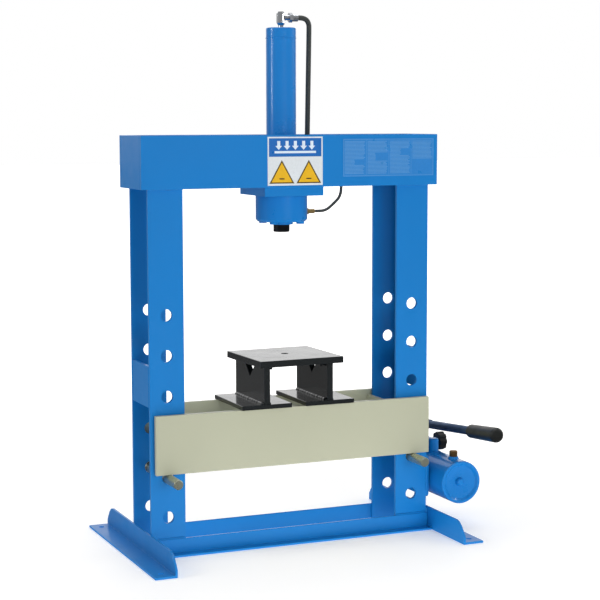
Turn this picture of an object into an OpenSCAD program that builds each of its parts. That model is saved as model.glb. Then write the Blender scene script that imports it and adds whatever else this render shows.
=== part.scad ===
// Hydraulic shop press: welded H-frame, single-acting cylinder, hand pump, pinned bed.
// Origin on the floor under the ram's axis. X runs along the bed, Y front to back, Z up.

/* [Frame] */
// Width over the outer edges of the uprights
frame_w = 680; // [640:5:740]
// Width of each upright's flat bars
bar_w = 80; // [70:5:90]
// Thickness of each flat bar
bar_t = 8; // [6:1:10]
// Depth over the front and rear bars of an upright
upright_depth = 132; // [124:2:140]
// Height of the lowest pin hole
first_hole_z = 85; // [80:1:95]
// Spacing of the pin holes
hole_pitch = 90; // [80:5:90]
// Number of pin holes in each bar
hole_count = 6; // [5:1:6]
// Diameter of the pin holes
hole_d = 27; // [25:0.5:29]

/* [Head] */
// Height of the underside of the head
head_z = 810; // [800:5:860]
// Height of the head's plates
head_h = 116; // [100:2:130]
// Length of the head's plates
head_w = 715; // [700:5:760]
// Thickness of the head's plates
head_t = 12; // [10:1:14]

/* [Base] */
// Length of each foot
foot_len = 500; // [440:10:560]
// Width and height of the foot's angle iron
foot_leg = 50; // [45:1:60]
// Thickness of the foot's angle iron
foot_t = 5; // [4:1:6]
// Height of the cross angles between the feet
cross_h = 36; // [30:1:40]
// Width of the cross angles
cross_w = 30; // [25:1:40]
// Diameter of the anchor holes
anchor_d = 13; // [11:1:14]

/* [Bed] */
// Length of the bed's side plates
bed_w = 670; // [640:2:680]
// Height of the bed's side plates
bed_h = 132; // [110:2:140]
// Thickness of the bed's side plates
bed_t = 12; // [10:1:14]
// Gap between a side plate and the upright it slides along
bed_gap = 3.5; // [2.5:0.5:5]
// Diameter of the bed pins
pin_d = 22; // [18:1:24]
// Length of the bed pins
pin_len = 240; // [220:5:260]

/* [Blocks] */
// Size of the loose press plate along the bed
plate_w = 205; // [180:5:220]
// Size of the loose press plate across the bed
plate_depth = 195; // [170:5:200]
// Thickness of the press plate
plate_t = 15; // [10:1:15]
// How far the loose plate lies turned on the blocks
plate_turn = 2; // [0:0.5:4]
// Distance between the two V-blocks
block_spacing = 154; // [140:2:170]
// Depth of the V-blocks across the bed
block_depth = 180; // [165:5:190]
// Height of a V-block's web
web_h = 86; // [70:2:100]

/* [Cylinder] */
// Outer diameter of the cylinder tube
tube_d = 68; // [66:1:74]
// Bore of the cylinder tube
bore_d = 58; // [56:1:60]
// Diameter of the piston rod
rod_d = 38; // [36:1:40]
// Height of the cylinder's top end
cyl_top = 1165; // [1160:1:1220]
// Diameter of the cylinder head under the press head
flange_d = 118; // [116:1:130]

/* [Pump] */
// Outer diameter of the oil tank
tank_d = 100; // [90:1:100]
// Height of the oil tank's axis
tank_z = 114.5; // [112:0.5:120]
// Length of the lever from its pivot to the tip of the grip
lever_len = 386; // [360:2:450]
// Outer diameter of the lever tube
lever_d = 20; // [18:1:22]
// Tilt of the lever above level at rest
lever_tilt = 5.3; // [3:0.1:7]

/* [Hidden] */
$fn = 48;
eps = 0.01;
run = 0.05;                              // radial clearance of a running fit
side = [-1, 1];

blue = [0.10, 0.42, 0.76];
grey = [0.70, 0.71, 0.64];
black = [0.10, 0.11, 0.12];
chrome = [0.82, 0.83, 0.85];
steel = [0.62, 0.63, 0.65];
zinc = [0.74, 0.68, 0.42];
brass = [0.72, 0.55, 0.25];
rubber = [0.06, 0.06, 0.06];
white = [0.86, 0.90, 0.94];

outer_x = frame_w/2;
inner_x = outer_x - bar_w;
bar_x = outer_x - bar_w/2;               // centre of an upright
face_y = upright_depth/2;                // outer face of the bars
channel_y = face_y - bar_t;              // inner face of the bars
bar_top = head_z + head_h - 6;
head_y = face_y + head_t;
head_top = head_z + head_h;
label_t = 0.3;

foot_x = outer_x + 2;                    // inner face of a foot, a weld gap outside the bars
anchor_x = foot_x + foot_leg/2 + 3;
anchor_y = foot_len/2 - 28;
foot_cut = [40, 34];                     // cut-off corners of a foot, along Y and Z
batten_z = first_hole_z + 2.74*hole_pitch;
batten_h = 92;

pin_z = first_hole_z + hole_pitch - hole_d/2 + pin_d/2;
bed_z = pin_z + pin_d/2;
bed_y = face_y + bed_gap;                // inner face of a bed plate
bed_top = bed_z + bed_h;
bed_shift = 3.4;                         // the bed lies slightly off centre on its pins
bed_tie_x = inner_x - 9;                 // the tie plates run just inside the uprights
bed_tie_drop = 12;                       // and stop a little below the bed's top
pin_front = -139;

block_base_t = 10;
block_base_w = 120;
web_t = 14;
vee_depth = 33;
web_z = bed_top + block_base_t;
plate_z = web_z + web_h;
plate_y = -8;
block_shift = 4.5;                       // the pair of blocks sits slightly off centre
plate_shift = 3.5;                       // the plate's centre, off the middle of the press
lug_t = 5;
lug_gap = 5.5;                           // room for the turned plate between lug and web

mount_t = 20;
mount_w = 142;
mount_depth = 152;
flange_top = head_z - mount_t;
flange_h = 60;
flange_z = flange_top - flange_h;
bolt_pcd = 92;
gland_z = flange_z - 7;
gland_top = flange_z + 14;
gland_d = 56;
tube_z = flange_z + 35;
port_z = flange_z + 21;
nose_z = flange_z - 24;                  // the ram's lower end at rest
nose_h = 18;
cap_h = 23;
cap_plug = 10;
piston_h = 40;
piston_z = cyl_top - cap_h - cap_plug - 3 - piston_h;
spring_turns = 18;
wire_d = 6;

plate_bracket_t = 7;
bracket_z = [72, 171];
tank_x = outer_x + plate_bracket_t + 3 + tank_d/2;
tank_wall = 3;
tank_y = [-126, 26];
tank_top = tank_z + tank_d/2;
filler_y = -89;
relief_y = 12.5;
block_x = [tank_x - 18, tank_x + 18];
block_y = [tank_y[1], 98];
block_top = 188;
plunger_y = 60;
plunger_d = 14;
outlet = [block_x[0], 50, 179];          // pressure port on the pump block
inlet = [block_x[0], 34, 179];           // return port on the pump block
valve_y = 36;
valve_z = 182.5;
knob_d = 44;
knob_x = block_x[1] + 3;
knob_t = 18;
pivot_y = 85;
pivot_z = 220.5;
pivot_d = 10;
link_d = 8;
link_arm = pivot_y - plunger_y;
link_z = pivot_z + link_arm*tan(lever_tilt);
socket_w = 19;
socket_h = 20;
socket_len = 50;
grip_len = 126;

hose_d = 12;
drain_d = 7;
hose_x = outer_x - 19;                   // both hoses drop inside the right upright

// ---- helpers -------------------------------------------------------------------------------

// A box from its low corner to its high corner
module block(low, high) {
    translate(low) cube(high - low);
}

// A cylinder along X, Y or Z between two values of that axis
module rod_x(d, x0, x1, y, z) { translate([x0, y, z]) rotate([0, 90, 0]) cylinder(d = d, h = x1 - x0); }
module rod_y(d, y0, y1, x, z) { translate([x, y0, z]) rotate([-90, 0, 0]) cylinder(d = d, h = y1 - y0); }
module rod_z(d, z0, z1, x = 0, y = 0) { translate([x, y, z0]) cylinder(d = d, h = z1 - z0); }

// A plain ring around the ram's axis
module ring_z(outer_d, inner_d, z0, z1) {
    difference() {
        rod_z(outer_d, z0, z1);
        rod_z(inner_d, z0 - 1, z1 + 1);
    }
}

function unit(v) = v/norm(v);

// Points of a path through waypoints, each inner corner rounded over a length
function corner(a, p, b, cut) =
    let (s = p + unit(a - p)*cut, e = p + unit(b - p)*cut)
    [for (i = [0:6]) let (t = i/6) (1 - t)*(1 - t)*s + 2*t*(1 - t)*p + t*t*e];
function rounded_path(w, cut) = concat(
    [w[0]],
    [for (i = [1:len(w) - 2]) each corner(w[i - 1], w[i], w[i + 1], cut)],
    [w[len(w) - 1]]);

// A round bar swept along points; ref is a direction that the path never takes
module sweep(points, d, ref, sides = 12) {
    n = len(points);
    rings = [for (i = [0:n - 1])
        let (
            t = unit(points[min(i + 1, n - 1)] - points[max(i - 1, 0)]),
            u = unit(cross(t, ref)),
            v = cross(u, t))
        for (k = [0:sides - 1]) points[i] + d/2*(cos(360*k/sides)*u + sin(360*k/sides)*v)];
    walls = [for (i = [0:n - 2], k = [0:sides - 1])
        [i*sides + k, (i + 1)*sides + k, (i + 1)*sides + (k + 1)%sides, i*sides + (k + 1)%sides]];
    start = [for (k = [0:sides - 1]) k];
    end = [for (k = [sides - 1:-1:0]) (n - 1)*sides + k];
    polyhedron(rings, concat(walls, [start, end]), convexity = 6);
}

// ---- frame ---------------------------------------------------------------------------------

module head_plate(s) {
    color(blue)
        block([-head_w/2, min(s*face_y, s*head_y), head_z], [head_w/2, max(s*face_y, s*head_y), head_top]);
}
module head_front_plate() { head_plate(-1); }
module head_rear_plate() { head_plate(1); }

module head_end_plates() {
    color(blue) for (s = side)
        translate([s*(head_w/2 - 4), 0, head_z + head_h/2]) cube([8, 2*face_y, head_h], center = true);
}

// One flat bar of an upright, with its row of pin holes
module upright_bar(sx, sy) {
    y = sy*(face_y - bar_t/2);
    color(blue) difference() {
        block([sx*bar_x - bar_w/2, y - bar_t/2, 0], [sx*bar_x + bar_w/2, y + bar_t/2, bar_top]);
        for (i = [0:hole_count - 1])
            rod_y(hole_d, y - bar_t, y + bar_t, sx*bar_x, first_hole_z + i*hole_pitch);
    }
}
module left_front_bar() { upright_bar(-1, -1); }
module left_rear_bar() { upright_bar(-1, 1); }
module right_front_bar() { upright_bar(1, -1); }
module right_rear_bar() { upright_bar(1, 1); }

// Printed labels on the head's front plate
module head_label(x, z) {
    color(white) block([x[0], -head_y - label_t, z[0]], [x[1], -head_y, z[1]]);
}
module capacity_label() { head_label([-65, 68], [head_z + 4, head_top - 4]); }
module instruction_label() { head_label([118, 348], [head_z + 21, head_top - 9]); }

module upright_battens() {
    color(blue) for (s = side)
        translate([s*(outer_x - bar_t/2), 0, batten_z + batten_h/2])
            cube([bar_t, 2*channel_y, batten_h], center = true);
}

// Angle iron on the floor against the outer faces of the bars
module cross_angle() {
    color(blue) difference() {
        block([-foot_x, face_y, 0], [foot_x, face_y + cross_w, cross_h]);
        block([-foot_x - 1, face_y + foot_t, foot_t], [foot_x + 1, face_y + cross_w + 1, cross_h + 1]);
    }
}
module cross_angles() {
    cross_angle();
    mirror([0, 1, 0]) cross_angle();
}

// Angle iron foot with bowed cuts at its upper corners and two anchor holes
module foot() {
    half = foot_len/2;
    cut = [[0, 1], [0.16, 0.74], [0.44, 0.34], [0.72, 0.09], [1, 0]];
    outline = concat(
        [[-half, 0], [half, 0]],
        [for (c = cut) [half - c[0]*foot_cut[0], foot_leg - c[1]*foot_cut[1]]],
        [for (i = [len(cut) - 1:-1:0]) [-half + cut[i][0]*foot_cut[0], foot_leg - cut[i][1]*foot_cut[1]]]);
    color(blue) difference() {
        union() {
            translate([foot_x, 0, 0]) rotate([90, 0, 90]) linear_extrude(foot_t) polygon(outline);
            block([foot_x, -half, 0], [foot_x + foot_leg, half, foot_t]);
        }
        for (s = side) rod_z(anchor_d, -1, foot_t + 1, anchor_x, s*anchor_y);
    }
}
module right_foot() { foot(); }
module left_foot() { mirror([1, 0, 0]) foot(); }

// ---- cylinder ------------------------------------------------------------------------------

module at_flange_bolts() {
    for (a = [45:90:315]) rotate([0, 0, a]) translate([bolt_pcd/2, 0, 0]) children();
}

module cylinder_mounting_plate() {
    color(blue) difference() {
        block([-mount_w/2, -mount_depth/2, flange_top], [mount_w/2, mount_depth/2, head_z]);
        rod_z(tube_d + 1, flange_top - 1, head_z + 1);
        at_flange_bolts() rod_z(12, flange_top - 1, head_z - 2);
    }
}

// Round head that carries the gland below and the tube above
module cylinder_head() {
    color(blue) difference() {
        union() {
            translate([0, 0, flange_z]) cylinder(d1 = flange_d - 10, d2 = flange_d, h = 5);
            rod_z(flange_d, flange_z + 5, flange_top);
        }
        rod_z(gland_d, flange_z - 1, gland_top);
        rod_z(bore_d, gland_top - 1, tube_z + 1);
        rod_z(tube_d, tube_z, flange_top + 1);
        rod_x(9, bore_d/2 - 4, flange_d/2 + 1, 0, port_z);
        at_flange_bolts() rod_z(12, flange_z - 1, flange_top + 1);
        at_flange_bolts() rod_z(20, flange_z - 1, flange_z + 6);
    }
}

module cylinder_tube() { color(blue) ring_z(tube_d, bore_d, tube_z, cyl_top - cap_h); }

// End cap: a disc on the tube, a plug in its bore and a port for the inlet elbow
module cylinder_cap() {
    color(blue) difference() {
        union() {
            rod_z(tube_d, cyl_top - cap_h, cyl_top - 2);
            translate([0, 0, cyl_top - 2]) cylinder(d1 = tube_d, d2 = tube_d - 4, h = 2);
            rod_z(bore_d, cyl_top - cap_h - cap_plug, cyl_top - cap_h);
        }
        rod_z(12, cyl_top - cap_h, cyl_top + 1);
        rod_z(6, cyl_top - cap_h - cap_plug - 1, cyl_top);
    }
}

// Socket head screws up through the cylinder head into the mounting plate
module flange_bolts() {
    color(black) at_flange_bolts() {
        difference() {
            rod_z(18, flange_z - 5, flange_z + 6);
            translate([0, 0, flange_z - 6]) cylinder(d = 11, h = 7, $fn = 6);
        }
        rod_z(12, flange_z + 6 - eps, head_z - 3);
    }
}

module gland_nut() {
    color(blue) difference() {
        union() {
            rod_z(gland_d - 4, gland_z, flange_z);
            rod_z(gland_d, flange_z, gland_top);
        }
        rod_z(rod_d + 6, gland_z - 1, gland_top - 6);
        rod_z(rod_d + 10, gland_top - 6, gland_top + 1);
    }
}
module guide_bush() { color(brass) ring_z(rod_d + 6, rod_d + 2*run, gland_z + 3, gland_top - 6); }
// Pressure seal above the bush and wiper ring below it
module rod_seals() {
    color(rubber) {
        ring_z(rod_d + 10, rod_d + 2*run, gland_top - 6, gland_top);
        ring_z(rod_d + 6, rod_d + 2*run, gland_z, gland_z + 3);
    }
}

module piston_rod() {
    color(chrome) difference() {
        union() {
            rod_z(rod_d, nose_z + nose_h, piston_z);
            rod_z(25, piston_z, piston_z + piston_h - 4);
        }
        rod_z(16, nose_z + nose_h - 1, nose_z + nose_h + 28);
    }
}

module piston() {
    color(steel) difference() {
        rod_z(bore_d - 2*run, piston_z, piston_z + piston_h);
        rod_z(25, piston_z - 1, piston_z + piston_h + 1);
        rod_z(44, piston_z + piston_h - 18, piston_z + piston_h + 1);
        ring_z(bore_d + 2, bore_d - 8, piston_z + 10, piston_z + 16);
    }
}
module piston_seal() { color(rubber) ring_z(bore_d - 2*run, bore_d - 8, piston_z + 10, piston_z + 16); }

module piston_nut() {
    color(steel) difference() {
        translate([0, 0, piston_z + piston_h - 18]) cylinder(d = 41, h = 13, $fn = 6);
        rod_z(25, piston_z, piston_z + piston_h + 1);
    }
}

// Hardened pressure nose screwed into the rod's lower end
module ram_nose() {
    color(black) {
        translate([0, 0, nose_z]) cylinder(d1 = rod_d - 4, d2 = rod_d - 1, h = 2);
        rod_z(rod_d - 1, nose_z + 2, nose_z + nose_h);
        rod_z(16, nose_z + nose_h - eps, nose_z + nose_h + 26);
    }
}

// Compression spring between the gland and the piston
module return_spring() {
    low = gland_top + 0.5 + wire_d/2;
    high = piston_z - 0.5 - wire_d/2;
    r = (bore_d + rod_d)/4;
    steps = spring_turns*14;
    coil = [for (i = [0:steps]) let (a = 360*spring_turns*i/steps)
        [r*cos(a), r*sin(a), low + (high - low)*i/steps]];
    color(steel) sweep(coil, wire_d, [0, 0, 1], 8);
}

// ---- hoses ---------------------------------------------------------------------------------

elbow_z = cyl_top + 23;                  // axis of the elbow's side outlet
hose_bend_x = 69.5;

module hex_x(across, x0, x1, y, z) {
    translate([x0, y, z]) rotate([0, 90, 0]) cylinder(d = across/cos(30), h = x1 - x0, $fn = 6);
}

// Swivel elbow: stem and hex body upright, threaded outlet towards +X
module inlet_elbow() {
    color(chrome) difference() {
        union() {
            rod_z(12, cyl_top - cap_h + 1, cyl_top + 8);
            translate([0, 0, cyl_top + 5]) cylinder(d1 = 13, d2 = 19, h = 6);
            translate([0, 0, cyl_top + 11]) rotate([0, 0, 30]) cylinder(d = 20, h = 21, $fn = 6);
            translate([0, 0, cyl_top + 32]) cylinder(d1 = 16, d2 = 13, h = 4);
            rod_x(12, 7, 19, 0, elbow_z);
        }
        rod_z(6, cyl_top - cap_h, elbow_z + 4);
        rod_x(4, 1, 20, 0, elbow_z);
    }
}

// Swivel nuts and crimped ferrules on the pressure hose's two ends
module hose_ferrules() {
    color(chrome) {
        hex_x(19, 19, 27, 0, elbow_z);
        rod_x(17, 27, 40, 0, elbow_z);
        hex_x(17, outlet[0] - 9, outlet[0], outlet[1], outlet[2]);
        rod_x(15, outlet[0] - 22, outlet[0] - 9, outlet[1], outlet[2]);
    }
}

module pressure_hose() {
    top = head_top - 46;
    path = [
        [40, 0, elbow_z], [hose_bend_x, 0, elbow_z], [hose_bend_x - 5, 0, head_top + 10],
        [hose_bend_x - 6, 0, top], [hose_x - 40, outlet[1], top - 6], [hose_x, outlet[1], top - 40],
        [hose_x, outlet[1], outlet[2]], [outlet[0] - 22, outlet[1], outlet[2]]];
    color(rubber) sweep(rounded_path(path, 22), hose_d, [0, 1, 0]);
}

// Brass elbows of the rod-side drain, on the cylinder head and on the pump block
module drain_fittings() {
    color(brass) {
        hex_x(12, flange_d/2, flange_d/2 + 8, 0, port_z);
        rod_x(9, bore_d/2 + 2, flange_d/2, 0, port_z);
        rod_x(10, flange_d/2 + 8, flange_d/2 + 22, 0, port_z);
        hex_x(12, inlet[0] - 8, inlet[0], inlet[1], inlet[2]);
        rod_x(10, inlet[0] - 16, inlet[0] - 8, inlet[1], inlet[2]);
    }
}

module drain_hose() {
    start = flange_d/2 + 22;
    rise_x = 152;
    top = head_z + 40;
    path = [
        [start, 0, port_z], [start + 30, 0, port_z], [rise_x - 4, 0, port_z + 32], [rise_x, 0, top],
        [rise_x + 45, 0, top + 26], [hose_x - 44, inlet[1], top + 20], [hose_x, inlet[1], top - 20],
        [hose_x, inlet[1], inlet[2]], [inlet[0] - 16, inlet[1], inlet[2]]];
    color(rubber) sweep(rounded_path(path, 15), drain_d, [0, 1, 0], 10);
}

// ---- bed -----------------------------------------------------------------------------------

module bed_plate(s) {
    low = min(s*bed_y, s*(bed_y + bed_t));
    color(grey) block([bed_shift - bed_w/2, low, bed_z], [bed_shift + bed_w/2, low + bed_t, bed_top]);
}
module bed_front_plate() { bed_plate(-1); }
module bed_rear_plate() { bed_plate(1); }

module bed_tie_plates() {
    color(grey) for (s = side) translate([bed_shift + s*bed_tie_x, 0, 0])
        block([-4, -bed_y, bed_z + 15], [4, bed_y, bed_top - bed_tie_drop]);
}

// Plain round pin with bevelled ends
module bed_pin(x) {
    color(zinc) translate([x, pin_front, pin_z]) rotate([-90, 0, 0]) {
        cylinder(d1 = pin_d - 4, d2 = pin_d, h = 2);
        translate([0, 0, 2]) cylinder(d = pin_d, h = pin_len - 4);
        translate([0, 0, pin_len - 2]) cylinder(d1 = pin_d, d2 = pin_d - 4, h = 2);
    }
}
module left_bed_pin() { bed_pin(-bar_x); }
module right_bed_pin() { bed_pin(bar_x); }

// ---- V-blocks and press plate --------------------------------------------------------------

function block_centre(s) = block_shift + s*block_spacing/2;

module block_base(s) {
    x = block_centre(s);
    color(black)
        block([x - block_base_w/2, -block_depth/2, bed_top], [x + block_base_w/2, block_depth/2, web_z]);
}
module block_web(s) {
    outline = [
        [-block_depth/2, 0], [block_depth/2, 0], [block_depth/2, web_h], [vee_depth, web_h],
        [0, web_h - vee_depth], [-vee_depth, web_h], [-block_depth/2, web_h]];
    color(black) translate([block_centre(s) - web_t/2, 0, web_z])
        rotate([90, 0, 90]) linear_extrude(web_t) polygon(outline);
}
module left_block_base() { block_base(-1); }
module right_block_base() { block_base(1); }
module left_block_web() { block_web(-1); }
module right_block_web() { block_web(1); }

module on_plate() { translate([plate_shift, plate_y, plate_z]) rotate([0, 0, plate_turn]) children(); }

module press_plate() {
    color(black) on_plate() difference() {
        translate([-plate_w/2, -plate_depth/2, 0]) cube([plate_w, plate_depth, plate_t]);
        translate([0, 0, -1]) cylinder(d = 16, h = plate_t + 2);
    }
}

// Strips under the plate that keep it between the two webs
module press_plate_lugs() {
    reach = block_spacing/2 - web_t/2 - lug_gap;
    color(black) on_plate() for (s = side)
        translate([s*(reach - lug_t/2) + block_shift - plate_shift, 0, -5])
            cube([lug_t, plate_depth - 70, 10], center = true);
}

// ---- hand pump -----------------------------------------------------------------------------

module pump_bracket() {
    size = [upright_depth, bracket_z[1] - bracket_z[0]];
    r = 10;
    color(blue) difference() {
        translate([outer_x, 0, bracket_z[0] + size[1]/2]) rotate([90, 0, 90])
            linear_extrude(plate_bracket_t) union() {
                square([size[0] - 2*r, size[1]], center = true);
                square([size[0], size[1] - 2*r], center = true);
                for (sy = side, sz = side)
                    translate([sy*(size[0]/2 - r), sz*(size[1]/2 - r)]) circle(r = r);
            }
        at_pump_bolts() rod_x(9, outer_x - 1, outer_x + plate_bracket_t + 1, 0, 0);
    }
}

module at_pump_bolts() {
    for (z = [104, 142]) translate([0, 44, z]) children();
}

module pump_bolts() {
    color(steel) at_pump_bolts() {
        translate([outer_x - 5.5, 0, 0]) rotate([0, 90, 0]) cylinder(d = 15, h = 5.5, $fn = 6);
        rod_x(8, outer_x - eps, outer_x + plate_bracket_t + 18, 0, 0);
    }
}

// Cast block: tank flange, upright body and a pad bolted to the bracket
module pump_block() {
    color(blue) difference() {
        union() {
            rod_y(tank_d, block_y[0], block_y[0] + 20, tank_x, tank_z);
            block([block_x[0], block_y[0], tank_z - 38], [block_x[1], block_y[1], block_top]);
            block([outer_x + plate_bracket_t, block_y[0], 88], [block_x[0] + 1, 64, 158]);
        }
        rod_z(plunger_d + 2*run, tank_z + 6, block_top + 1, tank_x, plunger_y);
        rod_x(8 + 2*run, tank_x - 4, block_x[1] + 1, valve_y, valve_z);
        at_pump_bolts() rod_x(8, outer_x, outer_x + plate_bracket_t + 20, 0, 0);
        rod_y(10, block_y[0] - 1, block_y[0] + 14, tank_x, tank_z);
    }
}

module fulcrum_lugs() {
    lug_x = socket_w/2 + 0.5;
    t = 6;
    color(blue) for (s = side) difference() {
        translate([tank_x + s*(lug_x + t/2), pivot_y, 0]) union() {
            translate([-t/2, -12, block_top]) cube([t, 24, pivot_z - block_top]);
            rod_x(24, -t/2, t/2, 0, pivot_z);
        }
        rod_x(pivot_d, tank_x - 30, tank_x + 30, pivot_y, pivot_z);
    }
}

module tank_tube() {
    color(blue) difference() {
        rod_y(tank_d, tank_y[0], tank_y[1], tank_x, tank_z);
        rod_y(tank_d - 2*tank_wall, tank_y[0] - 1, tank_y[1] + 1, tank_x, tank_z);
        rod_z(12, tank_z, tank_top + 1, tank_x, filler_y);
    }
}

// Pressed cap with a raised rim and a cone running in towards the stud at its centre
module tank_front_cap() {
    r = tank_d/2;
    w = tank_wall;
    profile = [
        [6, -8], [12, -8], [r - 11, -2.5], [r - 8, 0.5], [r - 6, 2.6], [r - 3.5, 3], [r - 1.2, 2.4],
        [r, 0.8], [r, 0],
        [r - w, 0], [r - w, -6], [r - w - 2, -6], [r - w - 3.5, -0.5], [r - 9, -2.2], [r - 12, -5],
        [12, -10.5], [6, -10.5]];
    color(blue) translate([tank_x, tank_y[0], tank_z]) rotate([90, 0, 0]) rotate_extrude() polygon(profile);
}

// Long stud that clamps the tank and its cap to the pump block
module tank_tie_rod() {
    color(blue) {
        rod_y(10, tank_y[0] + 2, block_y[0] + 14, tank_x, tank_z);
        translate([tank_x, tank_y[0] + 8, tank_z]) rotate([90, 0, 0]) cylinder(d1 = 20, d2 = 16, h = 7);
        translate([tank_x, tank_y[0] + 1 + eps, tank_z]) rotate([90, 0, 0]) cylinder(d1 = 16, d2 = 12, h = 2);
    }
}

module filler_boss() {
    color(blue) difference() {
        translate([tank_x, filler_y, tank_top - 4]) cylinder(d1 = 28, d2 = 22, h = 9);
        rod_y(tank_d, tank_y[0], tank_y[1], tank_x, tank_z);
        rod_z(12, tank_z, tank_top + 6, tank_x, filler_y);
    }
}

module filler_plug() {
    low = tank_top + 5;
    color(brass) {
        rod_z(19, low, low + 12, tank_x, filler_y);
        translate([tank_x, filler_y, low + 12]) cylinder(d1 = 19, d2 = 15, h = 2);
        rod_z(12 - 2*run, low - 12, low + eps, tank_x, filler_y);
    }
}

module relief_valve_cover() {
    r = 12.5;
    color(blue) difference() {
        union() {
            rod_z(2*r, tank_top - 4, tank_top + 26, tank_x, relief_y);
            translate([tank_x, relief_y, tank_top + 26]) rotate_extrude() difference() {
                union() {
                    square([r - 5, 5]);
                    intersection() {
                        translate([r - 5, 0]) circle(r = 5);
                        square([r, 5]);
                    }
                }
            }
        }
        rod_y(tank_d, tank_y[0], tank_y[1], tank_x, tank_z);
    }
}

module release_valve() { color(steel) rod_x(8, tank_x - 3, knob_x + 12, valve_y, valve_z); }

// Star knob with eight lobes and a raised boss
module release_knob() {
    lobes = 8;
    color(black) translate([knob_x, valve_y, valve_z]) rotate([90, 0, 90]) difference() {
        union() {
            linear_extrude(knob_t) difference() {
                circle(d = knob_d);
                for (i = [0:lobes - 1]) rotate(360*(i + 0.5)/lobes)
                    translate([knob_d/2 + 4, 0]) circle(r = 6.5);
            }
            translate([0, 0, knob_t]) cylinder(d1 = 22, d2 = 18, h = 2);
        }
        translate([0, 0, -1]) cylinder(d = 8, h = 13);
    }
}

// Plunger with a flat tongue that the lever's link pin crosses
module pump_plunger() {
    color(chrome) difference() {
        union() {
            rod_z(plunger_d, tank_z + 10, block_top + 12, tank_x, plunger_y);
            translate([tank_x - 4, plunger_y - 6, block_top + 12 - eps])
                cube([8, 12, link_z + 8 - block_top - 12]);
        }
        rod_x(link_d, tank_x - 10, tank_x + 10, plunger_y, link_z);
    }
}
module link_pin() { color(steel) rod_x(link_d, tank_x - 12, tank_x + 12, plunger_y, link_z); }
module lever_pivot_pin() { color(steel) rod_x(pivot_d, tank_x - 18, tank_x + 18, pivot_y, pivot_z); }

module on_lever() { translate([tank_x, pivot_y, pivot_z]) rotate([-lever_tilt, 0, 0]) children(); }

// Forked socket and the tube pressed on it; the lever runs towards -Y
module lever() {
    slot = [24.9, 32.2];                 // the link pin's centre in the slot, at rest and raised
    slot_d = link_d + 3;
    color(chrome) on_lever() difference() {
        union() {
            rod_x(socket_h, -socket_w/2, socket_w/2, 0, 0);
            block([-socket_w/2, -socket_len, -socket_h/2], [socket_w/2, 0, socket_h/2]);
            rod_y(lever_d, -lever_len + 5, -socket_len + eps, 0, 0);
        }
        rod_x(pivot_d + 2*run, -15, 15, 0, 0);
        block([-4.5, -46, -15], [4.5, -10, 15]);
        for (s = slot) rod_x(slot_d, -15, 15, -s, 0);
        block([-15, -slot[1], -slot_d/2], [15, -slot[0], slot_d/2]);
        rod_y(lever_d - 4, -lever_len, -socket_len - 40, 0, 0);
    }
}

// Thick smooth grip, slightly wider towards its rounded tip
module lever_grip() {
    r0 = lever_d/2;
    tip_r = r0 + 7;
    profile = concat(
        [[r0, 0], [r0 + 3, 0], [r0 + 4.6, 0.8], [r0 + 5.6, 3]],
        [for (a = [0:15:90]) [tip_r - 11 + 11*cos(a), grip_len - 11 + 11*sin(a)]],
        [[0, grip_len], [0, grip_len - 4.5], [r0, grip_len - 4.5]]);
    color(rubber) on_lever() translate([0, -lever_len + grip_len, 0])
        rotate([90, 0, 0]) rotate_extrude() polygon(profile);
}

head_front_plate();
head_rear_plate();
head_end_plates();
left_front_bar();
left_rear_bar();
right_front_bar();
right_rear_bar();
upright_battens();
cross_angles();
left_foot();
right_foot();
capacity_label();
instruction_label();
cylinder_mounting_plate();
cylinder_head();
cylinder_tube();
cylinder_cap();
flange_bolts();
gland_nut();
guide_bush();
rod_seals();
piston_rod();
piston();
piston_seal();
piston_nut();
ram_nose();
return_spring();
inlet_elbow();
hose_ferrules();
pressure_hose();
drain_fittings();
drain_hose();
bed_front_plate();
bed_rear_plate();
bed_tie_plates();
left_bed_pin();
right_bed_pin();
left_block_base();
left_block_web();
right_block_base();
right_block_web();
press_plate();
press_plate_lugs();
pump_bracket();
pump_bolts();
pump_block();
fulcrum_lugs();
tank_tube();
tank_front_cap();
tank_tie_rod();
filler_boss();
filler_plug();
relief_valve_cover();
release_valve();
release_knob();
pump_plunger();
link_pin();
lever_pivot_pin();
lever();
lever_grip();
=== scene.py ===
"""Looks for the hydraulic shop press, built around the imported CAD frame. Metres, +Z up, front is -Y."""
import math

import bmesh
import bpy
from mathutils import Matrix, Vector, noise


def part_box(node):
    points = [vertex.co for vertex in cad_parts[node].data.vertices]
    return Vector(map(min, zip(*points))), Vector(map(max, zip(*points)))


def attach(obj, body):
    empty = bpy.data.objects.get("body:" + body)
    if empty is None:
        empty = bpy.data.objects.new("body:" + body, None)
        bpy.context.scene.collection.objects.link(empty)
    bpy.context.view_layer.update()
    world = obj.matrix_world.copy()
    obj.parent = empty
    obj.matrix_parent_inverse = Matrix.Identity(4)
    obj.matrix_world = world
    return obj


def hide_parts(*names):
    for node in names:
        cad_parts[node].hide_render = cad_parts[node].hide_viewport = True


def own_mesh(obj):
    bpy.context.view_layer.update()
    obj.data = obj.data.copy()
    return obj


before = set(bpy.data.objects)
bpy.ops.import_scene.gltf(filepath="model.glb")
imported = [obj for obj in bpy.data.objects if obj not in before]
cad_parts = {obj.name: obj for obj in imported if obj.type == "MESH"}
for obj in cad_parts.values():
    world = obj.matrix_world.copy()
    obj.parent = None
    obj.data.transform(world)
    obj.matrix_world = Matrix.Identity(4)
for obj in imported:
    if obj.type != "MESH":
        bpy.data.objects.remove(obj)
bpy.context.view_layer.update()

MM = 0.001


def low(node):
    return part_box(node)[0]


def high(node):
    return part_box(node)[1]


def middle(node):
    return (low(node) + high(node)) / 2


# ---- material building ---------------------------------------------------------------------

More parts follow.
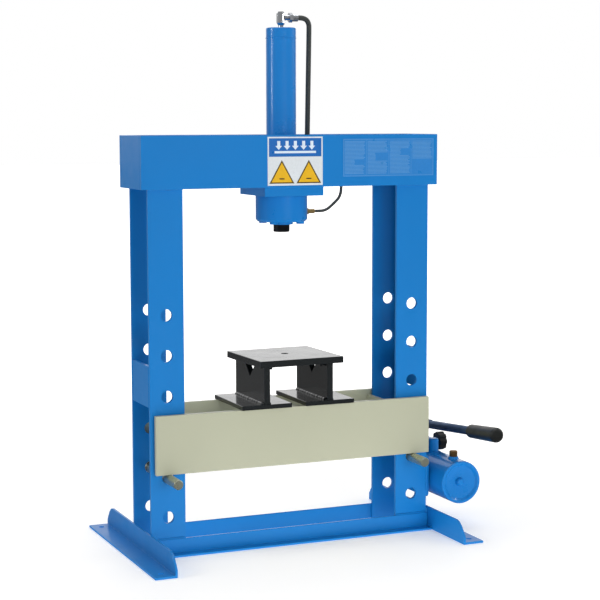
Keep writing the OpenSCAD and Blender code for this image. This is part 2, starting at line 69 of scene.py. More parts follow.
def srgb(red, green, blue):
    """A linear colour from 0-255 display values."""
    def linear(value):
        share = value / 255
        return share / 12.92 if share <= 0.04045 else ((share + 0.055) / 1.055) ** 2.4
    return (linear(red), linear(green), linear(blue), 1.0)


class Finish:
    """A Principled material whose detail is placed in the object's own metres."""

    def __init__(self, name):
        self.material = bpy.data.materials.new(name)
        self.material.use_nodes = True
        self.tree = self.material.node_tree
        self.shader = self.tree.nodes["Principled BSDF"]
        self.place = self.add("TexCoord").outputs["Object"]

    def add(self, kind, inputs=None, **settings):
        node = self.tree.nodes.new("ShaderNode" + kind)
        for key, value in settings.items():
            setattr(node, key, value)
        for key, value in (inputs or {}).items():
            self.set(node.inputs[key], value)
        return node

    def set(self, socket, value):
        if isinstance(value, bpy.types.NodeSocket):
            self.tree.links.new(value, socket)
        else:
            socket.default_value = value

    def principled(self, **values):
        for key, value in values.items():
            self.set(self.shader.inputs[key.replace("_", " ")], value)

    def stretch(self, x, y, z):
        """Object coordinates scaled by axis, for detail that runs along one direction."""
        return self.add("Mapping", {"Vector": self.place, "Scale": (x, y, z)}).outputs["Vector"]

    def noise(self, scale, detail=2.0, roughness=0.5, vector=None):
        values = {"Vector": vector or self.place, "Scale": scale, "Detail": detail, "Roughness": roughness}
        return self.add("TexNoise", values).outputs["Fac"]

    def voronoi(self, scale, vector=None, feature="F1"):
        values = {"Vector": vector or self.place, "Scale": scale}
        return self.add("TexVoronoi", values, feature=feature).outputs["Distance"]

    def wave(self, scale, axis, distortion=0.0, vector=None):
        values = {"Vector": vector or self.place, "Scale": scale, "Distortion": distortion}
        return self.add("TexWave", values, bands_direction=axis).outputs["Fac"]

    def math(self, operation, first, second=0.0):
        node = self.add("Math", operation=operation)
        self.set(node.inputs[0], first)
        self.set(node.inputs[1], second)
        return node.outputs[0]

    def range(self, value, from_low, from_high, to_low=0.0, to_high=1.0):
        return self.add("MapRange", {
            "Value": value, "From Min": from_low, "From Max": from_high,
            "To Min": to_low, "To Max": to_high}).outputs["Result"]

    def mix(self, share, first, second):
        node = self.add("Mix", data_type="RGBA")
        self.set(node.inputs[0], share)
        self.set(node.inputs[6], first)
        self.set(node.inputs[7], second)
        return node.outputs[2]

    def bump(self, height, strength, distance, below=None):
        values = {"Height": height, "Strength": strength, "Distance": distance}
        if below is not None:
            values["Normal"] = below
        return self.add("Bump", values).outputs["Normal"]

    def edge(self, radius):
        """1 on the solids' outer edges, 0 on their faces."""
        rounded = self.add("Bevel", {"Radius": radius}, samples=4).outputs["Normal"]
        flat = self.add("NewGeometry").outputs["Normal"]
        dot = self.add("VectorMath", operation="DOT_PRODUCT")
        self.set(dot.inputs[0], rounded)
        self.set(dot.inputs[1], flat)
        return self.range(dot.outputs["Value"], 0.99, 0.85)


def tone(colour, factor):
    return tuple(channel * factor for channel in colour[:3]) + (1.0,)


def enamel(name, colour, roughness, coat, peel=0.10, drift=0.08):
    """Sprayed enamel on steel: colour drift, orange peel, faint waviness, thin paint on the edges, dust."""
    f = Finish(name)
    cloud = f.range(f.noise(2.6, 3), 0.3, 0.7)
    base = f.mix(cloud, tone(colour, 1 - drift / 2), tone(colour, 1 + drift / 2))
    edge = f.math("MULTIPLY", f.edge(1.6 * MM), f.range(f.noise(90, 4), 0.35, 0.75))
    base = f.mix(f.math("MULTIPLY", edge, 0.35), base, tone(colour, 1.6))
    speck = f.range(f.voronoi(160), 0.05, 0.02, 0, 0.25)
    base = f.mix(speck, base, tone(colour, 0.7))
    wipe = f.noise(14, 5, 0.65)
    surface = f.bump(f.noise(420, 2), peel, 0.12 * MM)
    surface = f.bump(f.noise(38, 2), 0.25, 0.25 * MM, surface)
    f.principled(
        Base_Color=base, Roughness=f.range(wipe, 0.3, 0.7, roughness - 0.05, roughness + 0.07),
        Specular_IOR_Level=0.25, Coat_Weight=coat, Coat_Roughness=f.range(wipe, 0.3, 0.7, 0.05, 0.12),
        Normal=surface, Coat_Normal=surface)
    return f.material


def black_enamel(name):
    """Thick near-black paint on hot-rolled plate, scuffed in streaks along X and worn on its edges."""
    f = Finish(name)
    colour = srgb(22, 26, 28)
    base = f.mix(f.range(f.noise(18, 4), 0.3, 0.7), tone(colour, 0.85), tone(colour, 1.2))
    scuff = f.range(f.noise(1.0, 3, 0.6, f.stretch(60, 700, 700)), 0.60, 0.72, 0, 0.35)
    base = f.mix(scuff, base, srgb(46, 50, 52))
    worn = f.math("MULTIPLY", f.edge(1.4 * MM), f.range(f.noise(120, 4), 0.45, 0.7))
    base = f.mix(f.math("MULTIPLY", worn, 0.5), base, srgb(96, 100, 102))
    surface = f.bump(f.noise(260, 3), 0.12, 0.12 * MM)
    surface = f.bump(f.noise(30, 2), 0.2, 0.2 * MM, surface)
    f.principled(
        Base_Color=base, Roughness=f.range(f.noise(22, 5, 0.7), 0.3, 0.7, 0.16, 0.26),
        Specular_IOR_Level=0.25, Coat_Weight=0.5, Coat_Roughness=0.08, Normal=surface, Coat_Normal=surface)
    return f.material


def bright_metal(name, colour, roughness, grain, smudge=0.08, bump=0.05):
    """Polished or turned metal: fine lines along one direction, smudges and slight colour drift."""
    f = Finish(name)
    lines = f.noise(1.0, 3, 0.6, f.stretch(*grain))
    smudges = f.range(f.noise(45, 4), 0.4, 0.7)
    base = f.mix(smudges, colour, tone(colour, 0.86))
    brushed = f.range(lines, 0.3, 0.7, roughness * 0.7, roughness * 1.4)
    rough = f.math("ADD", f.math("MULTIPLY", smudges, smudge), brushed)
    f.principled(Base_Color=base, Metallic=1.0, Roughness=rough, Normal=f.bump(lines, bump, 0.05 * MM))
    return f.material


def plated(name):
    """Passivated zinc: pale grey-green, faintly yellow and light patches over turned steel."""
    f = Finish(name)
    patches = f.noise(30, 4, 0.6)
    base = f.mix(f.range(patches, 0.40, 0.60), srgb(182, 186, 166), srgb(166, 178, 166))
    base = f.mix(f.range(f.noise(75, 3), 0.58, 0.72, 0, 0.6), base, srgb(196, 197, 188))
    rings = f.wave(420, "Y", 2.0)
    f.principled(
        Base_Color=base, Metallic=0.85, Roughness=f.range(patches, 0.3, 0.7, 0.24, 0.40),
        Normal=f.bump(rings, 0.10, 0.06 * MM))
    return f.material


def brass(name, colour):
    f = Finish(name)
    tarnish = f.range(f.noise(60, 5, 0.65), 0.40, 0.65)
    base = f.mix(tarnish, colour, tone(colour, 0.55))
    f.principled(
        Base_Color=base, Metallic=0.8, Roughness=f.range(tarnish, 0, 1, 0.3, 0.5),
        Normal=f.bump(f.noise(500, 2), 0.15, 0.05 * MM))
    return f.material


def rubber(name, colour, wrapped=False):
    """Black rubber; a hose cover carries the print of its wrapping cloth."""
    f = Finish(name)
    dust = f.range(f.noise(55, 4), 0.35, 0.75, 0, 0.25)
    base = f.mix(dust, colour, srgb(84, 86, 85))
    height = f.noise(700, 2)
    if wrapped:
        weave = f.math("MULTIPLY", f.wave(330, "Z", 0.4), f.wave(330, "X", 0.4))
        height = f.math("ADD", f.math("MULTIPLY", weave, 0.8), f.math("MULTIPLY", height, 0.5))
    f.principled(
        Base_Color=base, Roughness=f.range(dust, 0, 0.3, 0.42, 0.60), Specular_IOR_Level=0.5,
        Normal=f.bump(height, 0.35, 0.15 * MM))
    return f.material


def moulded(name, colour, roughness, grain_scale):
    """Injection-moulded plastic with a fine pebbled grain and rubbed high spots."""
    f = Finish(name)
    rub = f.math("MULTIPLY", f.edge(1.2 * MM), f.range(f.noise(70, 3), 0.4, 0.7))
    base = f.mix(f.math("MULTIPLY", rub, 0.4), colour, srgb(88, 88, 90))
    pebbles = f.voronoi(grain_scale)
    f.principled(
        Base_Color=base, Roughness=f.range(f.noise(40, 3), 0.3, 0.7, roughness - 0.06, roughness + 0.08),
        Normal=f.bump(pebbles, 0.18, 0.12 * MM))
    return f.material


def print_film(name, colour, roughness=0.32):
    """Self-adhesive printed film: even ink with a faint mottle and lifted micro-bubbles."""
    f = Finish(name)
    mottle = f.range(f.noise(240, 3), 0.3, 0.7)
    base = f.mix(mottle, tone(colour, 0.96), tone(colour, 1.03))
    f.principled(
        Base_Color=base, Roughness=f.range(f.noise(35, 3), 0.3, 0.7, roughness - 0.05, roughness + 0.08),
        Coat_Weight=0.3, Coat_Roughness=0.15, Normal=f.bump(f.noise(60, 2), 0.08, 0.2 * MM))
    return f.material


FRAME_BLUE = enamel("frame_enamel", srgb(14, 119, 193), 0.40, 0.22)
GLOSS_BLUE = enamel("cylinder_enamel", srgb(14, 119, 196), 0.30, 0.45, peel=0.05)
BED_GREY = enamel("bed_enamel", srgb(176, 178, 156), 0.42, 0.35, peel=0.16, drift=0.08)
BLOCK_BLACK = black_enamel("block_enamel")
PIN_ZINC = plated("pin_zinc")
CHROME = bright_metal("chrome_plate", srgb(214, 217, 222), 0.13, (40, 6, 40), smudge=0.06)
ROD_CHROME = bright_metal("rod_chrome", srgb(226, 228, 232), 0.05, (40, 40, 900))
LEVER_STEEL = bright_metal("lever_steel", srgb(74, 96, 128), 0.52, (40, 6, 40), smudge=0.10)
STEEL = bright_metal("machined_steel", srgb(178, 180, 184), 0.26, (300, 300, 300))
DARK_STEEL = bright_metal("black_oxide", srgb(52, 54, 58), 0.36, (60, 60, 1200), bump=0.15)
SPRING_STEEL = bright_metal("spring_steel", srgb(120, 122, 128), 0.3, (200, 200, 200))
FITTING_BRASS = brass("fitting_brass", srgb(186, 156, 98))
PLUG_BRASS = brass("plug_bronze", srgb(150, 116, 72))
SEAL_RUBBER = rubber("seal_rubber", srgb(26, 26, 27))
HOSE_RUBBER = rubber("hose_rubber", srgb(56, 60, 59), wrapped=True)
GRIP_BLACK = moulded("grip_black", srgb(20, 23, 22), 0.42, 900)
KNOB_BLACK = moulded("knob_black", srgb(12, 15, 17), 0.34, 1400)
LABEL_WHITE = print_film("label_white", srgb(214, 220, 224))
FILM_BLUE = print_film("film_blue", srgb(34, 124, 198))
PRINT_BLUE = print_film("print_blue", srgb(4, 98, 178))
PRINT_PALE = print_film("print_pale", srgb(214, 228, 240))
PRINT_MIST = print_film("print_mist", srgb(88, 150, 206))
PRINT_YELLOW = print_film("print_yellow", srgb(226, 176, 12))
PRINT_DARK = print_film("print_dark", srgb(84, 66, 24))


# ---- dressing the CAD nodes ----------------------------------------------------------------

def node_group(name, build):
    """A geometry node group with one geometry in and out; build wires what lies between."""
    group = bpy.data.node_groups.new(name, "GeometryNodeTree")
    for direction in ("INPUT", "OUTPUT"):
        group.interface.new_socket("Geometry", in_out=direction, socket_type="NodeSocketGeometry")
    start = group.nodes.new("NodeGroupInput")
    end = group.nodes.new("NodeGroupOutput")
    group.links.new(build(group, start.outputs[0]), end.inputs[0])
    return group


def build_join(group, geometry):
    """Drops stored normals and joins the faces' separate corners."""
    drop = group.nodes.new("GeometryNodeRemoveAttribute")
    drop.inputs["Name"].default_value = "custom_normal"
    merge = group.nodes.new("GeometryNodeMergeByDistance")
    merge.inputs["Distance"].default_value = 0.005 * MM
    group.links.new(geometry, drop.inputs[0])
    group.links.new(drop.outputs[0], merge.inputs[0])
    return merge.outputs[0]


def build_smooth(group, geometry):
    """Smooth faces that stay crisp across sharp edges."""
    faces = group.nodes.new("GeometryNodeSetShadeSmooth")
    faces.domain = "FACE"
    edges = group.nodes.new("GeometryNodeSetShadeSmooth")
    edges.domain = "EDGE"
    angle = group.nodes.new("GeometryNodeInputMeshEdgeAngle")
    gentle = group.nodes.new("FunctionNodeCompare")
    gentle.data_type = "FLOAT"
    gentle.operation = "LESS_THAN"
    gentle.inputs[1].default_value = math.radians(32)
    group.links.new(angle.outputs["Unsigned Angle"], gentle.inputs[0])
    group.links.new(geometry, faces.inputs[0])
    group.links.new(faces.outputs[0], edges.inputs[0])
    group.links.new(gentle.outputs[0], edges.inputs["Shade Smooth"])
    return edges.outputs[0]


JOIN = node_group("join_faces", build_join)
SMOOTH = node_group("smooth_by_angle", build_smooth)


EDGE_SEGMENTS = 3
SHARP_EDGE = math.radians(38)
FLAT_ENOUGH = math.radians(0.5)


def dress(material, width, *nodes, rounds=0):
    """Gives CAD nodes their finish, an edge rounded to width, or rounds of subdivision, and smooth curves.

    Weighted normals keep the large faces flat beside their rounded edges.
    """
    for name in nodes:
        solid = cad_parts[name]
        solid.data.materials.clear()
        solid.data.materials.append(material)
        solid.modifiers.new("join", "NODES").node_group = JOIN
        if rounds:
            soft = solid.modifiers.new("round", "SUBSURF")
            soft.levels = rounds
            soft.render_levels = rounds
        if width:
            merged = solid.modifiers.new("flat_faces", "DECIMATE")
            merged.decimate_type = "DISSOLVE"
            merged.angle_limit = FLAT_ENOUGH
            bevel = solid.modifiers.new("edges", "BEVEL")
            bevel.width = width
            bevel.segments = EDGE_SEGMENTS
            bevel.limit_method = "ANGLE"
            bevel.angle_limit = SHARP_EDGE
            bevel.use_clamp_overlap = True
        solid.modifiers.new("smooth", "NODES").node_group = SMOOTH
        if width:
            weighted = solid.modifiers.new("flat", "WEIGHTED_NORMAL")
            weighted.weight = 100
            weighted.keep_sharp = True


dress(FRAME_BLUE, 1.0 * MM, "head_front_plate", "head_rear_plate", "head_end_plates", "left_front_bar",
      "left_rear_bar", "right_front_bar", "right_rear_bar", "upright_battens", "cylinder_mounting_plate",
      "pump_bracket")
dress(FRAME_BLUE, 1.4 * MM, "cross_angles", "left_foot", "right_foot")
dress(LABEL_WHITE, 0, "capacity_label")
dress(FILM_BLUE, 0, "instruction_label")
dress(GLOSS_BLUE, 0.8 * MM, "cylinder_head", "cylinder_cap", "cylinder_tube", "gland_nut", "flange_bolts")
dress(GLOSS_BLUE, 1.2 * MM, "pump_block", "fulcrum_lugs", "tank_tube", "filler_boss", "relief_valve_cover")
dress(GLOSS_BLUE, 0.6 * MM, "tank_front_cap", "tank_tie_rod")
dress(FITTING_BRASS, 0.4 * MM, "guide_bush", "drain_fittings")
dress(SEAL_RUBBER, 0.3 * MM, "rod_seals", "piston_seal")
dress(ROD_CHROME, 0.6 * MM, "piston_rod", "pump_plunger")
dress(STEEL, 0.5 * MM, "piston", "piston_nut", "pump_bolts", "release_valve", "link_pin", "lever_pivot_pin")
dress(DARK_STEEL, 0.5 * MM, "ram_nose")
dress(CHROME, 0.6 * MM, "inlet_elbow", "hose_ferrules")
dress(LEVER_STEEL, 0.6 * MM, "lever")
dress(HOSE_RUBBER, 0, "pressure_hose", "drain_hose", rounds=2)
dress(BED_GREY, 1.0 * MM, "bed_front_plate", "bed_rear_plate", "bed_tie_plates")
dress(PIN_ZINC, 0.4 * MM, "left_bed_pin", "right_bed_pin")
dress(BLOCK_BLACK, 1.2 * MM, "left_block_base", "left_block_web", "right_block_base", "right_block_web",
      "press_plate", "press_plate_lugs")
dress(PLUG_BRASS, 0.5 * MM, "filler_plug")
dress(KNOB_BLACK, 1.8 * MM, "release_knob")
dress(GRIP_BLACK, 0.5 * MM, "lever_grip")


# ---- mesh pieces ---------------------------------------------------------------------------

def piece(name, body, material, build):
    """One mesh made by build(bm), smooth by angle, riding on a body."""
    bm = bmesh.new()
    build(bm)
    bmesh.ops.recalc_face_normals(bm, faces=bm.faces)
    mesh = bpy.data.meshes.new(name)
    bm.to_mesh(mesh)
    bm.free()
    mesh.materials.append(material)
    thing = bpy.data.objects.new(name, mesh)
    bpy.context.scene.collection.objects.link(thing)
    thing.modifiers.new("smooth", "NODES").node_group = SMOOTH
    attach(thing, body)
    return thing


def bridge(bm, rings, closed=False):
    """Walls between rings of points, capped at both ends unless the rings close on themselves."""
    loops = [[bm.verts.new(point) for point in ring] for ring in rings]
    sides = len(rings[0])
    pairs = list(zip(loops, loops[1:])) + ([(loops[-1], loops[0])] if closed else [])
    for first, second in pairs:
        for i in range(sides):
            j = (i + 1) % sides
            bm.faces.new((first[i], second[i], second[j], first[j]))
    if not closed:
        bm.faces.new(loops[0])
        bm.faces.new(list(reversed(loops[-1])))


def ring(centre, across, up, radius, sides):
    """Points round a circle that lies in the plane of the unit vectors across and up."""
    turn = 2 * math.pi / sides
    return [centre + radius * (math.cos(k * turn) * across + math.sin(k * turn) * up) for k in range(sides)]


def sweep(bm, points, radius, sides=12, closed=False):
    """A round bar along points; radius is a number or a function of the point's index."""
    count = len(points)
    rings = []
    side = None
    for i, point in enumerate(points):
        if closed:
            ahead = points[(i + 1) % count] - points[i - 1]
        else:
            ahead = points[min(i + 1, count - 1)] - points[max(i - 1, 0)]
        ahead = ahead.normalized()
        if side is None:
            side = ahead.orthogonal().normalized()
        side = (side - ahead * side.dot(ahead)).normalized()
        size = radius(i) if callable(radius) else radius
        rings.append(ring(point, side, ahead.cross(side), size, sides))
    bridge(bm, rings, closed)


# ---- return spring -------------------------------------------------------------------------

SPRING_TURNS = 18
STEPS_PER_TURN = 24
COIL_RADIUS = 24 * MM                   # to the middle of the wire
WIRE_RADIUS = 3 * MM
spring_low = low("return_spring").z
spring_high = high("return_spring").z
spring_height = spring_high - spring_low


def coil(bm):
    """The CAD spring's coil between the gland and the piston, as a piece that rides on the ram."""
    bottom, rise = spring_low + WIRE_RADIUS, spring_height - 2 * WIRE_RADIUS
    steps = STEPS_PER_TURN * SPRING_TURNS
    path = []
    for i in range(steps + 1):
        angle = 2 * math.pi * i / STEPS_PER_TURN
        height = bottom + rise * i / steps
        path.append(Vector((COIL_RADIUS * math.cos(angle), COIL_RADIUS * math.sin(angle), height)))
    sweep(bm, path, WIRE_RADIUS)


spring = piece("return_coil", "ram", SPRING_STEEL, coil)
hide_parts("return_spring")
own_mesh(spring)


# ---- welds ---------------------------------------------------------------------------------

SCALE_STEPS = 6                         # points in one overlapping scale of a bead
WELD_STEP = 0.45                        # spacing of a bead's points, as a share of its radius


def weld_line(start, end, radius):
    """Points along a straight weld, close enough to carry its ripples."""
    start, end = Vector(start), Vector(end)
    steps = max(6, int((end - start).length / (radius * WELD_STEP)))
    return [start.lerp(end, i / steps) for i in range(steps + 1)]


def weld_ring(centre, ring_radius, axis, radius):
    """Points round a circular weld."""
    turn = Vector((0, 0, 1)).rotation_difference(Vector(axis)).to_matrix()
    steps = int(2 * math.pi * ring_radius / (radius * WELD_STEP))
    return ring(Vector(centre), turn @ Vector((1, 0, 0)), turn @ Vector((0, 1, 0)), ring_radius, steps)


def welds(name, body, material, radius, lines=(), rings=()):
    """Hand-laid weld beads: overlapping scales, uneven width and tapered ends.

    A line is a pair of ends, and a ring is its centre, radius and axis.
    """
    straight = [weld_line(start, end, radius) for start, end in lines]
    round_ones = [weld_ring(centre, ring_radius, axis, radius) for centre, ring_radius, axis in rings]

    def build(bm):
        for index, path in enumerate(straight + round_ones):
            closed = index >= len(straight)
            last = len(path) - 1

            def width(i):
                scale = 1 + 0.13 * (i % SCALE_STEPS) / SCALE_STEPS
                uneven = 1 + 0.12 * noise.noise(path[i] * 90)
                taper = 1 if closed else min(1, 0.35 + 0.3 * min(i, last - i))
                return radius * scale * uneven * taper

            sweep(bm, path, width, 10, closed)

    return piece(name, body, material, build)


SIDES = (-1, 1)
CORNERS = [(sx, sy) for sx in SIDES for sy in SIDES]
bar_inner, bar_outer = low("right_front_bar").x, high("right_front_bar").x
bar_back, bar_face = low("right_rear_bar").y, high("right_rear_bar").y
head_z = low("head_front_plate").z
foot_x = low("right_foot").x
angle_top = high("cross_angles").z
angle_y = high("cross_angles").y

welds("head_welds", "frame", FRAME_BLUE, 2.6 * MM, [
    ((sx * bar_inner, sy * bar_face, head_z), (sx * bar_outer, sy * bar_face, head_z)) for sx, sy in CORNERS])

weld_x = foot_x - 1 * MM
bars_on_angles = [
    ((sx * bar_inner, sy * bar_face, angle_top), (sx * bar_outer, sy * bar_face, angle_top))
    for sx, sy in CORNERS]
feet_on_angles = [
    ((sx * foot_x, sy * (bar_face + 6 * MM), 6 * MM), (sx * foot_x, sy * (angle_y - 2 * MM), 6 * MM))
    for sx, sy in CORNERS]
feet_upright = [
    ((sx * weld_x, sy * bar_face, 4 * MM), (sx * weld_x, sy * bar_face, 48 * MM)) for sx, sy in CORNERS]
welds("base_welds", "frame", FRAME_BLUE, 3.0 * MM,
      bars_on_angles + feet_on_angles + feet_upright)

batten_low, batten_high = low("upright_battens").z, high("upright_battens").z
batten_x = bar_outer - 0.8 * MM
welds("batten_welds", "frame", FRAME_BLUE, 1.8 * MM, [
    ((sx * batten_x, sy * bar_back, batten_low), (sx * batten_x, sy * bar_back, batten_high))
    for sx, sy in CORNERS])

mount_low, mount_high = low("cylinder_mounting_plate"), high("cylinder_mounting_plate")
welds("mounting_plate_welds", "frame", FRAME_BLUE, 2.4 * MM, [
    ((mount_low.x + 4 * MM, sy * mount_high.y, mount_high.z),
     (mount_high.x - 4 * MM, sy * mount_high.y, mount_high.z)) for sy in SIDES])

tube_radius = high("cylinder_tube").x
welds("cylinder_cap_weld", "frame", GLOSS_BLUE, 1.1 * MM, rings=[
    ((0, 0, high("cylinder_tube").z), tube_radius - 0.2 * MM, (0, 0, 1))])

bracket_low, bracket_high = low("pump_bracket"), high("pump_bracket")
bracket_x, bracket_y = bracket_low.x + 1 * MM, bar_face - 0.5 * MM
welds("bracket_welds", "frame", FRAME_BLUE, 2.4 * MM, [
    ((bracket_x, sy * bracket_y, bracket_low.z + 14 * MM),
     (bracket_x, sy * bracket_y, bracket_high.z - 14 * MM)) for sy in SIDES])

tank = middle("tank_tube")
tank_radius = high("tank_tube").x - tank.x
welds("tank_welds", "frame", GLOSS_BLUE, 1.8 * MM, rings=[
    ((tank.x, high("tank_tube").y, tank.z), tank_radius - 0.6 * MM, (0, 1, 0))])

lugs_low, lugs_high = low("fulcrum_lugs"), high("fulcrum_lugs")
welds("fulcrum_welds", "frame", GLOSS_BLUE, 1.8 * MM, [
    ((x, lugs_low.y + 2 * MM, lugs_low.z), (x, lugs_high.y - 2 * MM, lugs_low.z))
    for x in (lugs_low.x, lugs_high.x)])

bed_low, bed_high = low("bed_tie_plates"), high("bed_tie_plates")
TIE_THICKNESS = 8 * MM
tie_faces = (bed_low.x, bed_low.x + TIE_THICKNESS, bed_high.x - TIE_THICKNESS, bed_high.x)
welds("bed_welds", "bed", BED_GREY, 2.6 * MM, [
    ((x, sy * bed_high.y, bed_low.z + 3 * MM), (x, sy * bed_high.y, bed_high.z - 3 * MM))
    for x in tie_faces for sy in SIDES])

for side_name in ("left", "right"):
    web_low, web_high = low(side_name + "_block_web"), high(side_name + "_block_web")
    welds(side_name + "_block_welds", side_name + "_v_block", BLOCK_BLACK, 5.0 * MM, [
        ((x, web_low.y + 3 * MM, web_low.z), (x, web_high.y - 3 * MM, web_low.z))
        for x in (web_low.x, web_high.x)])


# ---- printed labels ------------------------------------------------------------------------

INK = 0.12 * MM


def printed(name, material, front, build_shapes):
    """Flat inked shapes standing a hair proud of a label's face."""
    def build(bm):
        for shape in build_shapes():
            near = [bm.verts.new((x, front - INK, z)) for x, z in shape]
            far = [bm.verts.new((x, front + INK, z)) for x, z in shape]
            bm.faces.new(near)
            bm.faces.new(list(reversed(far)))
            for i in range(len(shape)):
                j = (i + 1) % len(shape)
                bm.faces.new((near[i], far[i], far[j], near[j]))
    return piece(name, "frame", material, build)


def rectangle(left, bottom, right, top):
    return [(left, bottom), (right, bottom), (right, top), (left, top)]


def triangle(centre, bottom, side):
    top = bottom + side * math.sqrt(3) / 2
    return [(centre - side / 2, bottom), (centre + side / 2, bottom), (centre, top)]


cap_low, cap_high = low("capacity_label"), high("capacity_label")
margin = 3.2 * MM
band_low = cap_high.z - 44 * MM
sign_side = 60 * MM
sign_low = cap_low.z + 4.5 * MM
sign_centres = [cap_low.x + (cap_high.x - cap_low.x) * share for share in (0.255, 0.745)]
printed("label_band", PRINT_BLUE, cap_low.y, lambda: [
    rectangle(cap_low.x + margin, band_low, cap_high.x - margin, cap_high.z - margin)])
printed("sign_borders", PRINT_DARK, cap_low.y, lambda: [
    triangle(x, sign_low, sign_side) for x in sign_centres])
printed("sign_faces", PRINT_YELLOW, cap_low.y - INK, lambda: [
    triangle(x, sign_low + 2.8 * MM, sign_side - 9.8 * MM) for x in sign_centres])
printed("sign_marks", PRINT_DARK, cap_low.y - 2 * INK, lambda: [
    rectangle(x - 6 * MM, sign_low + 9 * MM, x + 6 * MM, sign_low + 12 * MM) for x in sign_centres])


def press_symbol():
    """A row of downward arrows over a bar, a plain shape for what the machine does."""
    centre = (cap_low.x + cap_high.x) / 2
    low_z = band_low + 7.5 * MM
    top_z = cap_high.z - margin - 6 * MM
    shapes = [rectangle(centre - 50 * MM, low_z, centre + 50 * MM, low_z + 5 * MM)]
    for offset in (-40, -20, 0, 20, 40):
        x = centre + offset * MM
        tip = low_z + 7.5 * MM
        shapes.append([(x - 8 * MM, tip + 9 * MM), (x, tip), (x + 8 * MM, tip + 9 * MM)])
        shapes.append(rectangle(x - 3.6 * MM, tip + 8.9 * MM, x + 3.6 * MM, top_z))
    return shapes


printed("press_symbol", PRINT_PALE, cap_low.y - INK, press_symbol)

ins_low, ins_high = low("instruction_label"), high("instruction_label")


def instruction_lines():
    """Four columns of plain strokes in a thin frame, with blank fields where pictures would go."""
    rule = 0.9 * MM
    inset = 1.5 * MM
    left, right = ins_low.x + inset, ins_high.x - inset
    bottom, top = ins_low.z + inset, ins_high.z - inset
    shapes = [
        rectangle(left, bottom, right, bottom + rule),
        rectangle(left, top - rule, right, top),
        rectangle(left, bottom + rule, left + rule, top - rule),
        rectangle(right - rule, bottom + rule, right, top - rule)]
    columns = 4
    width = (right - left) / columns
    pitch = 3.0 * MM
    rows = int((top - bottom - 6 * MM) / pitch)
    blank = {0: (0.55, 0.72, 0.50), 1: (0.35, 0.58, 0.40), 2: (0.22, 0.42, 0.55), 3: (0.55, 0.98, 0.0)}
    for column in range(columns):
        x = left + column * width + 3 * MM
        from_row, to_row, from_share = blank[column]
        for row in range(rows):
            share = row / rows
            z = top - 4.5 * MM - row * pitch
            length = width - 6 * MM - 9 * MM * abs(noise.noise(Vector((column * 7.3, row * 1.9, 0.5))))
            if from_row < share < to_row:
                length = length * from_share
            if length > 2 * MM:
                shapes.append(rectangle(x, z - 1.3 * MM, x + length, z))
        if column:
            divider = left + column * width
            shapes.append(rectangle(divider - 0.3 * MM, bottom + 3 * MM, divider + 0.3 * MM, top - 3 * MM))
    return shapes


printed("instruction_print", PRINT_MIST, ins_low.y, instruction_lines)


# ---- small hardware ------------------------------------------------------------------------

CLIP_THICKNESS = 1.2 * MM
CLIP_SIDES = 40


def rings_along_x(name, body, material, centre, places, radius, hole):
    """Flat rings on a shaft that runs along X, each closed through its own thickness."""
    section = [(hole, 0), (radius, 0), (radius, CLIP_THICKNESS), (hole, CLIP_THICKNESS)]
    turn = 2 * math.pi / CLIP_SIDES

    def build(bm):
        for x in places:
            bridge(bm, [[
                Vector((x + along, centre.y + r * math.cos(k * turn), centre.z + r * math.sin(k * turn)))
                for r, along in section] for k in range(CLIP_SIDES)], closed=True)
    return piece(name, body, material, build)


def pin_clips(name, body, node, inset, rim):
    """A retaining clip near each end of a pin, with its outer face that far inside the pin's end."""
    centre = middle(node)
    end = high(node).x - centre.x
    pin_radius = (high(node).z - low(node).z) / 2
    places = (centre.x - end + inset, centre.x + end - inset - CLIP_THICKNESS)
    rings_along_x(name, body, STEEL, centre, places, pin_radius + rim, pin_radius - 0.5 * MM)


pin_clips("pivot_clips", "frame", "lever_pivot_pin", 0.4 * MM, 3 * MM)
pin_clips("link_clips", "plunger", "link_pin", 0.3 * MM, 2 * MM)

BOLT_HEAD_RADIUS = 7.5 * MM
bolts_low, bolts_high = low("pump_bolts"), high("pump_bolts")
for index, z in enumerate((bolts_low.z + BOLT_HEAD_RADIUS, bolts_high.z - BOLT_HEAD_RADIUS)):
    centre = Vector((0, middle("pump_bolts").y, z))
    rings_along_x("bolt_washer_%d" % (index + 1), "frame", STEEL, centre,
                  (bracket_low.x - CLIP_THICKNESS,), 8.6 * MM, 4.2 * MM)


# ---- stage, light and camera ---------------------------------------------------------------

FLOOR_SIZE = 30
FLOOR_DROP = 0.3 * MM                   # keeps the floor clear of the feet
FLOOR_GLOW = 0.25                       # seen by the lens, beside the press
FLOOR_BOUNCE = 1.30                     # thrown back onto the press, under it
ROOM = 0.36                             # light from most directions
BACK_WALL = 1.15                        # light from the bright wall
WALL_DIRECTION = (0.40, 0.88, 0.25)
WALL_EDGE = (0.62, 0.92)                # the wall fades in between these cosines to its direction
LOOK_AT = (0, 0, 0.6)                   # what the lights face
CAMERA_PLACE = (-1.449, -3.497, 0.963)
CAMERA_YAW, CAMERA_PITCH, CAMERA_ROLL = math.radians(23.14), math.radians(6.24), math.radians(-0.11)
SENSOR_WIDTH, FOCAL_LENGTH = 36, 99.8


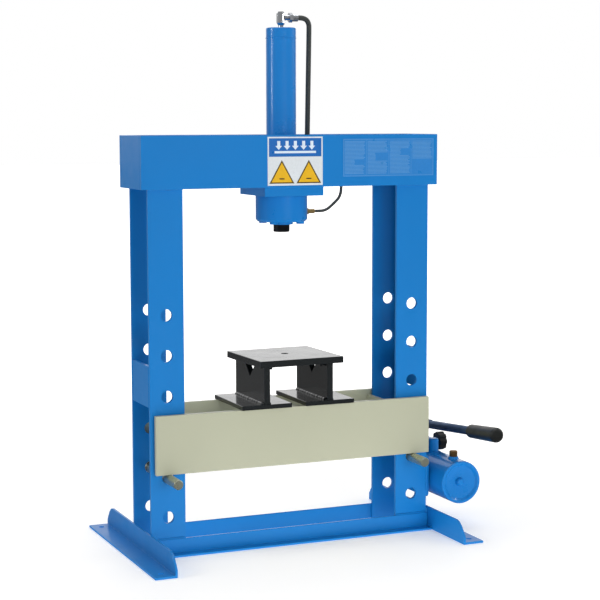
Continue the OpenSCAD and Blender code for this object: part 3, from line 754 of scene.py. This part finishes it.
def pale_floor():
    """A white sweep that blends into the background and throws light back onto the press.

    Its glow towards the lens rises with the distance from the press, and the light that it throws back falls.
    In reflections it is painted dark grey, a painted reflection far darker than the floor seen directly.
    """
    f = Finish("pale_floor")
    base = f.mix(f.range(f.noise(1.2, 3), 0.3, 0.7), (0.88, 0.875, 0.87, 1), (0.91, 0.905, 0.90, 1))
    rays = f.add("LightPath").outputs
    # painted reflection: glossy rays see the floor painted dark grey, much darker than it looks to the lens
    base = f.mix(rays["Is Glossy Ray"], base, (0.2, 0.2, 0.2, 1))
    away = f.add("VectorMath", {0: f.place}, operation="LENGTH").outputs["Value"]
    glow = f.math("MULTIPLY", rays["Is Camera Ray"], f.range(away, 0.7, 2.4, FLOOR_GLOW, 1.0))
    bounce = f.range(away, 0.3, 1.0, FLOOR_BOUNCE, 0.1)
    glow = f.math("ADD", glow, f.math("MULTIPLY", rays["Is Diffuse Ray"], bounce))
    f.principled(
        Base_Color=base, Roughness=f.range(f.noise(9, 3), 0.3, 0.7, 0.5, 0.62), Specular_IOR_Level=0.2,
        Emission_Color=(1.0, 0.99, 0.975, 1), Emission_Strength=glow)
    return f.material


def make_floor():
    bm = bmesh.new()
    bmesh.ops.create_grid(bm, x_segments=4, y_segments=4, size=FLOOR_SIZE)
    mesh = bpy.data.meshes.new("floor")
    bm.to_mesh(mesh)
    bm.free()
    mesh.materials.append(pale_floor())
    floor = bpy.data.objects.new("floor", mesh)
    floor.location.z = -FLOOR_DROP
    bpy.context.scene.collection.objects.link(floor)


def area_light(name, place, size, power, mirrored=True):
    """A softbox at place, facing the press; mirrored says whether gloss shows its reflection."""
    data = bpy.data.lights.new(name, "AREA")
    data.shape = "RECTANGLE"
    data.size, data.size_y = size
    data.energy = power
    lamp = bpy.data.objects.new(name, data)
    lamp.visible_glossy = mirrored
    lamp.location = place
    lamp.rotation_mode = "QUATERNION"
    lamp.rotation_quaternion = (Vector(LOOK_AT) - Vector(place)).to_track_quat("-Z", "Y")
    bpy.context.scene.collection.objects.link(lamp)


def make_camera():
    """The photographer stood to the left, a little above the bed, with a short telephoto lens."""
    data = bpy.data.cameras.new("camera")
    data.sensor_width = SENSOR_WIDTH
    data.lens = FOCAL_LENGTH
    camera = bpy.data.objects.new("camera", data)
    aim = Matrix.Rotation(-CAMERA_YAW, 4, "Z") @ Matrix.Rotation(math.pi / 2 - CAMERA_PITCH, 4, "X")
    turn = aim @ Matrix.Rotation(CAMERA_ROLL, 4, "Z")
    camera.matrix_world = Matrix.Translation(CAMERA_PLACE) @ turn
    bpy.context.scene.collection.objects.link(camera)
    bpy.context.scene.camera = camera


def make_world():
    """A dim room with a bright wall behind and to the right of the press; plain white to the lens."""
    world = bpy.data.worlds.new("studio")
    world.use_nodes = True
    tree = world.node_tree
    background = tree.nodes["Background"]
    place = tree.nodes.new("ShaderNodeTexCoord")
    facing = tree.nodes.new("ShaderNodeVectorMath")
    facing.operation = "DOT_PRODUCT"
    facing.inputs[1].default_value = Vector(WALL_DIRECTION).normalized()
    spread = tree.nodes.new("ShaderNodeMapRange")
    spread.interpolation_type = "SMOOTHSTEP"
    for name, value in zip(("From Min", "From Max", "To Min", "To Max"), (*WALL_EDGE, ROOM, BACK_WALL)):
        spread.inputs[name].default_value = value
    rays = tree.nodes.new("ShaderNodeLightPath")
    pick = tree.nodes.new("ShaderNodeMapRange")
    tree.links.new(place.outputs["Generated"], facing.inputs[0])
    tree.links.new(facing.outputs["Value"], spread.inputs["Value"])
    tree.links.new(rays.outputs["Is Camera Ray"], pick.inputs["Value"])
    tree.links.new(spread.outputs["Result"], pick.inputs["To Min"])
    pick.inputs["To Max"].default_value = 1.0
    tree.links.new(pick.outputs["Result"], background.inputs["Strength"])
    background.inputs["Color"].default_value = (1, 1, 1, 1)
    bpy.context.scene.world = world
    bpy.context.scene.view_settings.view_transform = "Standard"


make_floor()
make_world()
area_light("key", (0.4, -4.2, 1.0), (2.4, 1.4), 76, mirrored=False)
area_light("left_strip", (-2.8, 0.35, 1.6), (0.3, 1.3), 18)
area_light("right_strip", (2.8, -0.35, 1.8), (0.3, 0.9), 10)
area_light("top", (0, 0.2, 3.6), (2.4, 1.6), 36)
make_camera()
